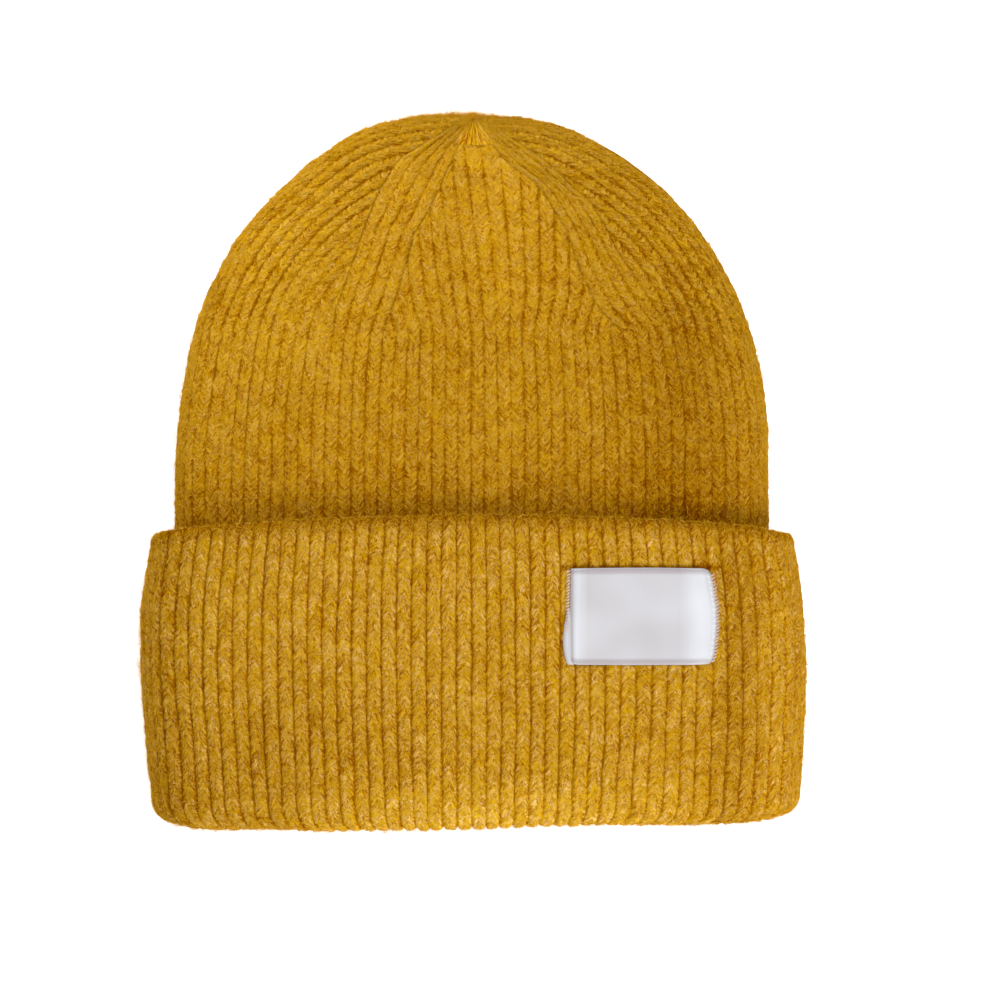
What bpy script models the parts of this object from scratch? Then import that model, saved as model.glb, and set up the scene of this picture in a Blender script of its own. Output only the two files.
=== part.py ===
"""A rib-knit beanie lying flat on its back, with its label side up.

Metres, +Z up, crown towards +Y, mouth towards -Y. The origin is on the resting plane,
under the middle of the hat.
"""

import math

import bmesh
import bpy

# Overall size of the hat as it lies.
LENGTH = 0.227
CUFF_WIDTH = 0.210
CROWN_WIDTH = 0.1886
CUFF_HEIGHT = 0.097
CROWN_RISE = 0.1087

# The knit: one layer's loft, the air between two layers, and the small gap that keeps solids apart.
LAYER = 0.0048
LAYER_AIR = 0.0012
GAP = 0.0004

# The cuff's wall stands this much further out than its folded ends.
CUFF_FACE_BULGE = 0.0002

# Heights of the body above the resting plane, in the cuff and at the apex.
BODY_MIDDLE_Z = 0.018
BODY_TOP_Z = 0.034
BODY_BOTTOM_Z = LAYER + LAYER_AIR + CUFF_FACE_BULGE
APEX_MIDDLE_Z = 0.010
APEX_TOP_Z = 0.024
# The weight of the hat presses its back flat on the resting plane by this much.
PRESSED_FLAT = 0.0004

# How square the sections are: 2 is an ellipse, a larger number is fuller towards the side folds.
TOP_FULLNESS = 5.0
BOTTOM_FULLNESS = 10.0
OUTLINE_FULLNESS = 2.1

# Cuff outline: its sides bulge past their width at the ends, and its corners are rounded.
CUFF_END_HALF_WIDTH = 0.1012
CUFF_BULGE_SKEW = 1.3
BOTTOM_CORNER_HEIGHT = 0.008
TOP_CORNER_RADIUS = 0.0024
CORNER_LIFT = 0.0025
CORNER_LIFT_SHARPNESS = 12
CORNER_LIFT_FALLOFF = 4

# Sewn-on pieces.
LABEL_SIZE = (0.0498, 0.0309, 0.0008)
LABEL_CENTRE = (0.0534, -0.0459)
STITCH_RADIUS = 0.0003
STITCH_INSET = 0.0018
CARE_LABEL_SIZE = (0.040, 0.025, 0.0008)
CARE_LABEL_CORNER = (0.0022, -0.075)
SEAM_WIDTH = 0.0028
SEAM_HEIGHT = 0.0012
CUFF_SEAM_HEIGHT = 0.0006
SEAM_GAP = 0.0003
SEAM_END_Y = 0.090
GATHER_HOLE_RADIUS = 0.0022
GATHER_NECK_RADIUS = 0.0018
GATHER_KNOT_RADIUS = 0.0027
# Depths below the apex of the gathering yarn's knot, the top of its neck and its rounded tip.
KNOT_DEPTH = 0.0155
NECK_TOP_DEPTH = 0.0025
TIP_DEPTH = 0.0009
TIP_END_DEPTH = 0.0006
# The neck starts this far above the knot's middle.
NECK_START = 0.0035
# The yarn's radius at the start of its neck and at its tip, as shares of its neck's.
NECK_START_SHARE = 0.9
TIP_SHARE = 0.6
# The cuff's seam stops this far short of the fold and of the top edge.
CUFF_SEAM_END = 0.010

# How finely each piece is divided.
SEGMENTS = 44
CROWN_STEPS = 13
FOLD_STEPS = 5
EDGE_STEPS = 4
CUFF_WALL_HEIGHTS = (0.012, 0.025, 0.040, 0.055, 0.068, 0.080, 0.088)
YARN_SIDES = 14
KNOT_STEPS = 7
RIDGE_SIDES = 8
STITCH_STEPS = 10
LABEL_COLUMNS = 12
LABEL_ROWS = 4
HOLE_SIDES = 16
HOLE_CUTTER_DEPTH = 0.030
SHARP_ANGLE = math.radians(50)
CARE_LABEL_EDGE = 0.0002

HALF_CROWN = CROWN_WIDTH / 2
MOUTH_Y = -LENGTH / 2
APEX_Y = LENGTH / 2
CUFF_TOP_Y = MOUTH_Y + CUFF_HEIGHT
SHOULDER_Y = APEX_Y - CROWN_RISE
LIP_DEPTH = LAYER + GAP
BODY_END_Y = MOUTH_Y + LIP_DEPTH + GAP
CUFF_BULGE = CUFF_WIDTH / 2 - CUFF_END_HALF_WIDTH
# The back settles on the resting plane between the cuff's top edge and here.
SETTLED_Y = SHOULDER_Y + 0.020
# Sections of the straight part of the body, between its end and the shoulder.
STRAIGHT_STATIONS = (BODY_END_Y, -0.065, CUFF_TOP_Y - 0.004, CUFF_TOP_Y + 0.004, CUFF_TOP_Y + 0.013)


def clear_scene():
    for old in list(bpy.data.objects):
        bpy.data.objects.remove(old)


def make_material(name, colour, roughness):
    made = bpy.data.materials.new(name)
    made.use_nodes = True
    shader = made.node_tree.nodes["Principled BSDF"]
    shader.inputs["Base Color"].default_value = (*colour, 1.0)
    shader.inputs["Roughness"].default_value = roughness
    shader.inputs["Metallic"].default_value = 0.0
    return made


def add_object(name, shell, material):
    """A smooth-shaded object made from a bmesh, with its faces turned outwards."""
    bmesh.ops.recalc_face_normals(shell, faces=shell.faces)
    mesh = bpy.data.meshes.new(name)
    shell.to_mesh(mesh)
    shell.free()
    mesh.shade_smooth()
    mesh.set_sharp_from_angle(angle=SHARP_ANGLE)
    mesh.materials.append(material)
    made = bpy.data.objects.new(name, mesh)
    bpy.context.scene.collection.objects.link(made)
    return made


def loft(name, rings, material, joined_ends=False):
    """A closed skin through rings of points. A ring of one point is a pole.

    With joined_ends the last ring meets the first, otherwise each end ring is capped or is a pole.
    """
    shell = bmesh.new()
    rows = [[shell.verts.new(point) for point in ring] for ring in rings]
    pairs = list(zip(rows, rows[1:]))
    if joined_ends:
        pairs.append((rows[-1], rows[0]))
    for lower, upper in pairs:
        count = max(len(lower), len(upper))
        for k in range(count):
            after = (k + 1) % count
            corners = [lower[k % len(lower)], lower[after % len(lower)]]
            corners += [upper[after % len(upper)], upper[k % len(upper)]]
            shell.faces.new(list(dict.fromkeys(corners)))
    if not joined_ends:
        for row in (rows[0], rows[-1]):
            if len(row) > 2:
                shell.faces.new(row)
    return add_object(name, shell, material)


def ease(value):
    """0 to 1 with a level start and end."""
    value = min(max(value, 0.0), 1.0)
    return value * value * (3 - 2 * value)


def fill(radius, fullness):
    """Height of a pillow section at this share of its reach, from 1 in the middle to 0 at its fold."""
    return math.sqrt(max(0.0, 1.0 - radius**fullness))


def section(half_width, middle_z, top_z, bottom_z, y, reach=0.0, lift=0.0):
    """A closed loop in a plane across the hat: domed above the side folds, nearly flat below.

    reach is how far up the crown's rise the loop lies, from 0 to 1. lift moves the loop's side
    corners along Y.
    """
    narrowing = (1.0 - reach**OUTLINE_FULLNESS) ** (1 / OUTLINE_FULLNESS)
    points = []
    for k in range(SEGMENTS):
        angle = 2 * math.pi * k / SEGMENTS
        across = abs(math.cos(angle)) * narrowing
        radius = (across**OUTLINE_FULLNESS + reach**OUTLINE_FULLNESS) ** (1 / OUTLINE_FULLNESS)
        if math.sin(angle) > 0:
            z = middle_z + (top_z - middle_z) * fill(radius, TOP_FULLNESS)
        else:
            z = max(0.0, middle_z - (middle_z - bottom_z) * fill(radius, BOTTOM_FULLNESS))
        corner = lift * abs(math.cos(angle)) ** CORNER_LIFT_SHARPNESS
        points.append((half_width * math.cos(angle), y + corner, z))
    return points


def body_heights(y):
    """Middle, top and bottom of the body's outer surface at this place along the hat."""
    along = ease((y - CUFF_TOP_Y) / (APEX_Y - CUFF_TOP_Y))
    settled = ease((y - CUFF_TOP_Y) / (SETTLED_Y - CUFF_TOP_Y))
    middle = BODY_MIDDLE_Z + (APEX_MIDDLE_Z - BODY_MIDDLE_Z) * along
    top = BODY_TOP_Z + (APEX_TOP_Z - BODY_TOP_Z) * along
    bottom = BODY_BOTTOM_Z * (1 - settled) - PRESSED_FLAT * settled
    return middle, top, bottom


def corner_lift(height):
    """How far the side corners stand towards the cuff's middle at this height above the fold."""
    share = height / CUFF_HEIGHT
    return CORNER_LIFT * ((1 - share) ** CORNER_LIFT_FALLOFF - share**CORNER_LIFT_FALLOFF)


def body_section(y, inset, lowest=0.0):
    """The body's section at y, drawn in by inset: 0 for the outer face, LAYER for the inner one."""
    middle, top, bottom = body_heights(y)
    lift = corner_lift(y - MOUTH_Y) if y == BODY_END_Y else 0.0
    rise = CROWN_RISE - inset
    reach = min(max((y - SHOULDER_Y) / rise, 0.0), 1.0)
    narrowing = (1.0 - reach**OUTLINE_FULLNESS) ** (1 / OUTLINE_FULLNESS)
    half_width = (HALF_CROWN - inset) * narrowing
    ring = section(half_width, middle, top - inset, bottom + inset, y, reach, lift)
    return [(x, ring_y, max(z, lowest)) for x, ring_y, z in ring]


def body_stations(inset):
    """Places along the body, closer together where the crown turns in."""
    rise = CROWN_RISE - inset
    crown = []
    for k in range(CROWN_STEPS):
        turn = math.sin(math.pi / 2 * k / CROWN_STEPS) ** (2 / OUTLINE_FULLNESS)
        crown.append(SHOULDER_Y + rise * turn)
    return [*STRAIGHT_STATIONS, *crown]


def make_body(yarn):
    """The knitted tube from the bottom fold to the apex, open at the mouth, with a hole at its apex."""
    outer = [body_section(y, 0.0) for y in body_stations(0.0)]
    outer.append([(0.0, APEX_Y, APEX_MIDDLE_Z)])
    inner_apex = APEX_Y - LAYER
    inner = [[(0.0, inner_apex, body_heights(inner_apex)[0])]]
    inner += [body_section(y, LAYER, LAYER) for y in reversed(body_stations(LAYER))]
    return loft("knit_body", inner + outer, yarn)


def cuff_half_width(height):
    """Half the width of the cuff's outline at this height above its bottom fold."""
    skewed = (height / CUFF_HEIGHT) ** CUFF_BULGE_SKEW
    return CUFF_END_HALF_WIDTH + CUFF_BULGE * math.sin(math.pi * min(skewed, 1.0))


def cuff_ring(side, face, height):
    """The cuff's section, side and face outside the body's outer surface."""
    top = BODY_TOP_Z + face
    bottom = BODY_BOTTOM_Z - face - PRESSED_FLAT * ease(face / cuff_outer_face())
    half_width = HALF_CROWN + side
    return section(half_width, BODY_MIDDLE_Z, top, bottom, MOUTH_Y + height, lift=corner_lift(height))


def cuff_outer_face():
    """Offset of the cuff's outer face from the body's, where the body lies flat."""
    return LAYER + LAYER_AIR


def make_cuff(yarn):
    """The turned-up band: a wall round the body, and at the bottom the fold that meets the body's end."""
    outer_face = cuff_outer_face()
    rings = []
    # Round the fold, from the inner face of the lip to the outer face of the cuff.
    centre = (outer_face - LAYER) / 2
    reach_in = centre + LAYER
    for k in range(FOLD_STEPS + 1):
        turn = math.pi / 2 * k / FOLD_STEPS
        offset = centre - reach_in * math.cos(turn)
        rings.append(cuff_ring(offset, offset, LIP_DEPTH * (1 - math.sin(turn))))
    side = cuff_half_width(BOTTOM_CORNER_HEIGHT) - HALF_CROWN
    for k in range(1, FOLD_STEPS + 1):
        turn = math.pi / 2 * k / FOLD_STEPS
        reach_side = centre + (side - centre) * math.sin(turn)
        reach_face = centre + (outer_face - centre) * math.sin(turn)
        rings.append(cuff_ring(reach_side, reach_face, BOTTOM_CORNER_HEIGHT * (1 - math.cos(turn))))
    # Up the outside.
    for height in CUFF_WALL_HEIGHTS:
        rings.append(cuff_ring(cuff_half_width(height) - HALF_CROWN, outer_face + CUFF_FACE_BULGE, height))
    # Over the top edge.
    top_side = cuff_half_width(CUFF_HEIGHT - TOP_CORNER_RADIUS) - HALF_CROWN
    for k in range(EDGE_STEPS + 1):
        turn = math.pi * k / EDGE_STEPS
        back = LAYER / 2 * (1 - math.cos(turn))
        height = CUFF_HEIGHT - TOP_CORNER_RADIUS * (1 - math.sin(turn))
        rings.append(cuff_ring(top_side - back, outer_face - back, height))
    # Down the inside, to the lip's end face.
    for height in reversed(CUFF_WALL_HEIGHTS[::2]):
        inside = cuff_half_width(height) - HALF_CROWN - LAYER
        rings.append(cuff_ring(inside, outer_face - LAYER, height))
    rings.append(cuff_ring(side - LAYER, outer_face - LAYER, LIP_DEPTH))
    return loft("turned_cuff", rings, yarn, joined_ends=True)


def cut_apex_hole(body, material):
    """The small hole that the last stitches leave at the apex."""
    cutter_shell = bmesh.new()
    bmesh.ops.create_cone(
        cutter_shell,
        cap_ends=True,
        segments=HOLE_SIDES,
        radius1=GATHER_HOLE_RADIUS,
        radius2=GATHER_HOLE_RADIUS,
        depth=HOLE_CUTTER_DEPTH,
    )
    cutter = add_object("apex_hole_cutter", cutter_shell, material)
    cutter.location = (0.0, APEX_Y, APEX_MIDDLE_Z)
    cutter.rotation_euler = (math.radians(90), 0.0, 0.0)
    cutter.hide_render = True
    cutter.display_type = "WIRE"
    hole = body.modifiers.new("apex_hole", "BOOLEAN")
    hole.operation = "DIFFERENCE"
    hole.solver = "EXACT"
    hole.object = cutter


def make_gather_yarn(yarn):
    """The yarn pulled tight through the apex hole, and its fastening knot inside the crown."""
    knot_y = APEX_Y - KNOT_DEPTH
    turned = [math.pi * k / KNOT_STEPS for k in range(1, KNOT_STEPS - 1)]
    profile = [(knot_y - GATHER_KNOT_RADIUS * math.cos(t), GATHER_KNOT_RADIUS * math.sin(t)) for t in turned]
    profile.append((knot_y + NECK_START, GATHER_NECK_RADIUS * NECK_START_SHARE))
    profile.append((APEX_Y - NECK_TOP_DEPTH, GATHER_NECK_RADIUS))
    profile.append((APEX_Y - TIP_DEPTH, GATHER_NECK_RADIUS * TIP_SHARE))
    loops = [[(0.0, knot_y - GATHER_KNOT_RADIUS, 0.0)]]
    for y, radius in profile:
        turns = [2 * math.pi * k / YARN_SIDES for k in range(YARN_SIDES)]
        loops.append([(radius * math.cos(t), y, radius * math.sin(t)) for t in turns])
    loops.append([(0.0, APEX_Y - TIP_END_DEPTH, 0.0)])
    gather = loft("crown_gather_yarn", loops, yarn)
    gather.location = (0.0, 0.0, APEX_MIDDLE_Z)
    return gather


def ridge(name, stations, width, height, material):
    """A low half-round ridge of linking yarn along Y, at x = 0. Each station is (y, underside z)."""
    rings = []
    for y, z in stations:
        turns = [math.pi * k / (RIDGE_SIDES - 1) for k in range(RIDGE_SIDES)]
        rings.append([(width / 2 * math.cos(t), y, z + height * math.sin(t)) for t in turns])
    return loft(name, rings, material)


def make_seams(thread):
    """The linking yarn down the centre back: inside the body, and between the cuff and the body."""
    along = [y for y in body_stations(LAYER) if y < SEAM_END_Y]
    stations = [(y, max(body_heights(y)[2], 0.0) + LAYER + GAP) for y in along]
    ridge("back_seam_yarn", stations, SEAM_WIDTH, SEAM_HEIGHT, thread)
    underside = BODY_BOTTOM_Z - LAYER_AIR + SEAM_GAP
    ends = [(MOUTH_Y + CUFF_SEAM_END, underside), (CUFF_TOP_Y - CUFF_SEAM_END, underside)]
    ridge("cuff_seam_yarn", ends, SEAM_WIDTH, CUFF_SEAM_HEIGHT, thread)


def cuff_top_z(x, y):
    """Height of the cuff's upper face."""
    half_width = cuff_half_width(y - MOUTH_Y)
    face = cuff_outer_face() + CUFF_FACE_BULGE
    top = BODY_TOP_Z + face
    return BODY_MIDDLE_Z + (top - BODY_MIDDLE_Z) * fill(abs(x) / half_width, TOP_FULLNESS)


def make_front_label(satin):
    """The satin label, laid over the cuff's curve."""
    length, width, thickness = LABEL_SIZE
    columns = LABEL_COLUMNS
    rows = LABEL_ROWS
    shell = bmesh.new()
    grid = []
    for i in range(columns + 1):
        x = LABEL_CENTRE[0] + length * (i / columns - 0.5)
        line = []
        for j in range(rows + 1):
            y = LABEL_CENTRE[1] + width * (j / rows - 0.5)
            line.append(shell.verts.new((x, y, cuff_top_z(x, y) + GAP)))
        grid.append(line)
    for i in range(columns):
        for j in range(rows):
            shell.faces.new((grid[i][j], grid[i + 1][j], grid[i + 1][j + 1], grid[i][j + 1]))
    label = add_object("front_label", shell, satin)
    wall = label.modifiers.new("thickness", "SOLIDIFY")
    wall.thickness = thickness
    wall.offset = 1.0
    return label


def make_label_stitch(name, side, thread):
    """A line of thread over one folded end of the label. side is -1 for the left and 1 for the right."""
    length, width, thickness = LABEL_SIZE
    x = LABEL_CENTRE[0] + side * (length / 2 - STITCH_INSET)
    curve = bpy.data.curves.new(name, "CURVE")
    curve.dimensions = "3D"
    curve.bevel_depth = STITCH_RADIUS
    curve.bevel_resolution = 2
    curve.use_fill_caps = True
    curve.materials.append(thread)
    spline = curve.splines.new("POLY")
    spline.points.add(STITCH_STEPS)
    for k, point in enumerate(spline.points):
        y = LABEL_CENTRE[1] + (width - 2 * STITCH_INSET) * (k / STITCH_STEPS - 0.5)
        z = cuff_top_z(x, y) + GAP + thickness + GAP + STITCH_RADIUS
        point.co = (x, y, z, 1.0)
    made = bpy.data.objects.new(name, curve)
    bpy.context.scene.collection.objects.link(made)
    return made


def make_care_label(satin):
    """The care label inside the hat. Its origin is on the seam that it swings on."""
    length, width, thickness = CARE_LABEL_SIZE
    left, front = CARE_LABEL_CORNER
    underside = BODY_BOTTOM_Z + LAYER + 2 * GAP
    shell = bmesh.new()
    bmesh.ops.create_cube(shell, size=1.0)
    bmesh.ops.scale(shell, vec=CARE_LABEL_SIZE, verts=shell.verts)
    bmesh.ops.translate(shell, vec=(length / 2, width / 2, 0.0), verts=shell.verts)
    label = add_object("care_label", shell, satin)
    label.location = (left, front, underside + thickness / 2)
    soft_edge = label.modifiers.new("soft_edge", "BEVEL")
    soft_edge.width = CARE_LABEL_EDGE
    soft_edge.segments = 1
    return label


def build():
    clear_scene()
    yarn = make_material("mustard_yarn", (0.485, 0.235, 0.012), 0.95)
    seam = make_material("linking_yarn", (0.40, 0.19, 0.012), 0.95)
    satin = make_material("white_satin", (0.74, 0.72, 0.74), 0.42)
    thread = make_material("white_thread", (0.70, 0.68, 0.70), 0.6)
    care = make_material("care_ribbon", (0.78, 0.78, 0.78), 0.5)
    body = make_body(yarn)
    cut_apex_hole(body, yarn)
    make_cuff(yarn)
    make_gather_yarn(yarn)
    make_seams(seam)
    make_front_label(satin)
    make_label_stitch("label_stitch_left", -1, thread)
    make_label_stitch("label_stitch_right", 1, thread)
    make_care_label(care)


build()
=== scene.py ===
"""A mustard rib-knit beanie with a turned-up cuff and a blank white satin label, lying on its back.

Metres, +Z up, crown towards +Y. Every knitted surface is a grid whose columns follow the ribs:
q counts ribs from the centre line and v counts rows of stitches.
"""

import math

import bpy
import numpy as np
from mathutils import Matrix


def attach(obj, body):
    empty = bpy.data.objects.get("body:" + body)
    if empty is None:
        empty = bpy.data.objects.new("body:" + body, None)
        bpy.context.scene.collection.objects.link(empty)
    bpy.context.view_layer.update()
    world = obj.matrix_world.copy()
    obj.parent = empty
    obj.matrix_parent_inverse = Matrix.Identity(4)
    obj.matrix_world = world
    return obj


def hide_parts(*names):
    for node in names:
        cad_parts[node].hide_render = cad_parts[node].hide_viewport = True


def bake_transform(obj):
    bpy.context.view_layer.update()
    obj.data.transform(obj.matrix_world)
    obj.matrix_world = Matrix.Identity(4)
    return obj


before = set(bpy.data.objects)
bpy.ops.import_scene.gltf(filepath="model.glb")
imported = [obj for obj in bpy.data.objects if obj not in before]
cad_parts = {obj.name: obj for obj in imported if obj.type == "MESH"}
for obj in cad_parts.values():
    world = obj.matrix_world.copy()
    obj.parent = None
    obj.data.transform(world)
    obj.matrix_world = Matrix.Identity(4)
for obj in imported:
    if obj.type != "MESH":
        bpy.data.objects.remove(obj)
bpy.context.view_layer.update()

# The hat's shape, as the CAD model has it.
HALF_CROWN = 0.0943
MOUTH_Y = -0.1135
APEX_Y = 0.1135
CUFF_HEIGHT = 0.097
CUFF_TOP_Y = MOUTH_Y + CUFF_HEIGHT
CROWN_RISE = 0.1087
SHOULDER_Y = APEX_Y - CROWN_RISE
SETTLED_Y = SHOULDER_Y + 0.020
LAYER = 0.0048
LAYER_AIR = 0.0012
OUTER_FACE = LAYER + LAYER_AIR
FACE_BULGE = 0.0002
LIP_DEPTH = 0.0052
PRESSED_FLAT = 0.0004
BODY_MIDDLE_Z = 0.018
BODY_TOP_Z = 0.034
BODY_BOTTOM_Z = OUTER_FACE + FACE_BULGE
APEX_MIDDLE_Z = 0.010
APEX_TOP_Z = 0.024
TOP_FULLNESS = 5.0
BOTTOM_FULLNESS = 10.0
OUTLINE_FULLNESS = 2.1
CUFF_END_HALF_WIDTH = 0.1012
CUFF_BULGE = 0.0038
CUFF_BULGE_SKEW = 1.3
BOTTOM_CORNER_HEIGHT = 0.008
TOP_CORNER_RADIUS = 0.0042
CORNER_LIFT = 0.0025
CORNER_LIFT_SHARPNESS = 12
CORNER_LIFT_FALLOFF = 4
# How the cuff's soft fabric lies away from that shape: an arched top edge, and a lower right corner
# that is pushed out and up a little.
CUFF_TOP_ARCH = 0.0027
RIGHT_CORNER_OUT = 0.0022
RIGHT_CORNER_UP = 0.0018
APEX_PUSH = 0.0007
APEX_DENT = 0.0013
LEFT_SHOULDER_PUSH = 0.0019
RIGHT_SHOULDER_PUSH = 0.0007

# The knit: ribs from the centre line to each side fold, and where the even spacing ends.
HALF_RIBS = 24.5
EVEN_SHARE = 0.945
EVEN_RIBS = 21.15
CUFF_ROW = 0.0024
BODY_ROW = 0.0020
RIDGE_POWER = 2.6
CUFF_DEPTH = 0.0012
BODY_DEPTH = 0.0009
LEG_SLANT = 1.15
LEG_HEIGHT = 0.00042
CENTRE_DIP = 0.00016
CROWN_LUMPS = 1.3

# The label on the cuff.
LABEL_CENTRE = (0.0534, -0.0459)
LABEL_SIZE = (0.0498, 0.0309)
LABEL_LOW = LABEL_CENTRE[1] - LABEL_SIZE[1] / 2
LABEL_HIGH = LABEL_CENTRE[1] + LABEL_SIZE[1] / 2
LABEL_THICKNESS = 0.00035
STITCH_LENGTH = 0.0009
STITCH_RADIUS = 0.00024

# The care label inside, and the linking yarn's loops.
CARE_CORNER = (0.0022, -0.075)
CARE_SIZE = (0.040, 0.025)
CARE_THICKNESS = 0.0003
CARE_Z = 0.0122
SEAM_STEP = 0.0030


def ease(value):
    """0 to 1 with a level start and end."""
    value = np.clip(value, 0.0, 1.0)
    return value * value * (3 - 2 * value)


def hump(value):
    """1 where the value is 0, and close to 0 from 2 either side."""
    return np.exp(-(value**2))


def fill(radius, fullness):
    """Height of a pillow-like section at this share of its half-width, from 1 in the middle to 0."""
    return np.sqrt(np.maximum(0.0, 1.0 - np.minimum(radius, 1.0) ** fullness))


def length_along(*path):
    """Length so far along a path given as two rows of coordinates."""
    return np.concatenate([[0], np.cumsum(np.hypot(*np.diff(path)))])


# ---- random fields

TABLE_SIZE = 16384


def drift(seed, cell, first, second=0.0):
    """Smooth noise from -1 to 1, with features about one cell across."""
    table = np.random.default_rng(seed).uniform(-1, 1, TABLE_SIZE)
    first = np.asarray(first) / cell
    second = np.asarray(second) / cell
    i = np.floor(first).astype(int)
    j = np.floor(second).astype(int)
    along = ease(first - i)
    across = ease(second - j)
    total = 0.0
    for step_i, share_i in ((0, 1 - along), (1, along)):
        for step_j, share_j in ((0, 1 - across), (1, across)):
            total = total + share_i * share_j * table[((i + step_i) * 127 + (j + step_j) * 3571) % TABLE_SIZE]
    return total


def pick(seed, rib, row, side):
    """One random number from -1 to 1 for each leg of each stitch."""
    table = np.random.default_rng(seed).uniform(-1, 1, TABLE_SIZE)
    index = rib.astype(int) * 211 + row.astype(int) * 3 + (side > 0).astype(int) * 7919
    return table[index % TABLE_SIZE]


# ---- knit relief


def knit_relief(q, v, hand, depth, seed, lumps=1.0, ridge_share=1.0, legs=1.0):
    """Height of the knit below its crests, with the fabric coordinates that its colour follows.

    hand is 1 where the stitches point up the hat and -1 where they point down. lumps scales how much
    the stitches differ in height, ridge_share how deep the grooves between ribs are, and legs how
    clearly each stitch stands out.
    """
    rib = np.floor(q + 1e-9)
    across = 2 * (q - rib) - 1
    out = np.minimum(np.abs(across), 1.0)
    v = v + 0.5 * drift(seed + 2, 1.0, rib * 7.3) + 0.35 * drift(seed + 3, 6.0, rib * 5.1, v)
    phase = v + hand * LEG_SLANT * out
    row = np.floor(phase)
    place = 2 * (phase - row) - 1
    ridge = np.sqrt(np.maximum(0.0, 1 - out**RIDGE_POWER)) - 1
    lobe = np.sqrt(np.maximum(0.0, 1 - np.abs(place) ** 2.4))
    fade = 1 - out**6
    tall = 1 + 0.45 * pick(seed + 4, rib, row, across)
    lift = 0.00016 * lumps * pick(seed + 5, rib, row, across) * lobe
    pit = -0.00045 * (lumps - 0.6) * (1 - lobe) * ease((out - 0.35) / 0.4)
    height = depth * ridge * ridge_share + (LEG_HEIGHT * legs * tall * (lobe - 1) + lift + pit) * fade
    height -= CENTRE_DIP * hump(out / 0.14)
    height += 0.0002 * drift(seed + 6, 2.2, q * 2, v)
    height += 0.00013 * lumps * drift(seed + 8, 0.52, q * 2, v)
    tone = pick(seed + 7, rib, row, across)
    # The height share, which the yarn's colour turns into painted shade in the grooves.
    share = np.clip(1 + height / depth, 0.0, 1.0)
    return height, np.stack([phase, out, q], -1), np.stack([tone, share, np.zeros_like(share)], -1)


def curve_table(width, height, fullness):
    """Share of the half-width at each rib from the centre line: even first, then by length round the fold."""
    turn = np.linspace(0, 1, 400)
    share = 1 - (1 - EVEN_SHARE) * (1 - turn) ** 2
    length = length_along(width * share, height * fill(share, fullness))
    ribs = EVEN_RIBS + (HALF_RIBS - EVEN_RIBS) * length / length[-1]
    return np.concatenate([[0], ribs]), np.concatenate([[0], share])


TOP_TABLE = curve_table(0.105, 0.0222, TOP_FULLNESS)
BOTTOM_TABLE = curve_table(0.105, 0.018, BOTTOM_FULLNESS)


def unit(vectors):
    return vectors / np.maximum(np.linalg.norm(vectors, axis=-1, keepdims=True), 1e-12)


def normals_of(points, back=False):
    normal = unit(np.cross(np.gradient(points, axis=1), np.gradient(points, axis=0)))
    return -normal if back else normal


def knit_grid(columns, rows):
    """Rib numbers and places along the hat, with this many columns of points to a rib."""
    return np.meshgrid(np.linspace(-HALF_RIBS, HALF_RIBS, int(2 * HALF_RIBS * columns) + 1), rows)


# ---- meshes


def add_mesh(name, vertices, faces, material, smooth=True):
    """A mesh from an array of points and one or more arrays of faces."""
    mesh = bpy.data.meshes.new(name)
    corners = np.concatenate([np.asarray(f, dtype=np.int32).ravel() for f in faces])
    sizes = np.concatenate([np.full(len(f), f.shape[1], dtype=np.int32) for f in faces])
    starts = np.concatenate([[0], np.cumsum(sizes)[:-1]]).astype(np.int32)
    mesh.vertices.add(len(vertices))
    mesh.vertices.foreach_set("co", np.asarray(vertices, dtype=np.float32).ravel())
    mesh.loops.add(len(corners))
    mesh.loops.foreach_set("vertex_index", corners)
    mesh.polygons.add(len(sizes))
    mesh.polygons.foreach_set("loop_start", starts)
    mesh.update(calc_edges=True)
    mesh.validate()
    if smooth:
        mesh.shade_smooth()
    mesh.materials.append(material)
    made = bpy.data.objects.new(name, mesh)
    bpy.context.scene.collection.objects.link(made)
    return made


def settle(made, body, slot, *nodes):
    """Say which body a piece rides on and which solids it stands for; the slot is not used."""
    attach(made, body)
    if nodes:
        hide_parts(*nodes)
    return made


def set_vector(made, name, values):
    attribute = made.data.attributes.new(name, "FLOAT_VECTOR", "POINT")
    attribute.data.foreach_set("vector", np.asarray(values, dtype=np.float32).ravel())


def grid_faces(rows, columns, flip=False, start=0):
    index = start + np.arange(rows * columns, dtype=np.int32).reshape(rows, columns)
    corners = [index[:-1, :-1], index[:-1, 1:], index[1:, 1:], index[1:, :-1]]
    if flip:
        corners.reverse()
    return np.stack([c.ravel() for c in corners], -1)


def knit_piece(name, points, leg, tone, material, flip=False):
    rows, columns = points.shape[:2]
    made = add_mesh(name, points.reshape(-1, 3), [grid_faces(rows, columns, flip)], material)
    set_vector(made, "leg", leg)
    set_vector(made, "tone", tone)
    return made


def knit_pieces(names, points, leg, tone, material, body, flip=False):
    """One knitted surface as pieces side by side, parted in the grooves between ribs, with normals
    that run on across the partings."""
    normal = normals_of(points, flip)
    columns = points.shape[1] - 1
    ribs = [round(2 * HALF_RIBS * k / len(names) - HALF_RIBS) for k in range(1, len(names))]
    cuts = [0, *(round((rib + HALF_RIBS) * columns / (2 * HALF_RIBS)) for rib in ribs), columns]
    made = []
    for name, first, last in zip(names, cuts, cuts[1:]):
        part = (slice(None), slice(first, last + 1))
        piece = knit_piece(name, points[part], leg[part], tone[part], material, flip)
        piece.data.normals_split_custom_set_from_vertices(normal[part].reshape(-1, 3))
        made.append(settle(piece, body, "mustard_yarn"))
    return made


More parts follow.
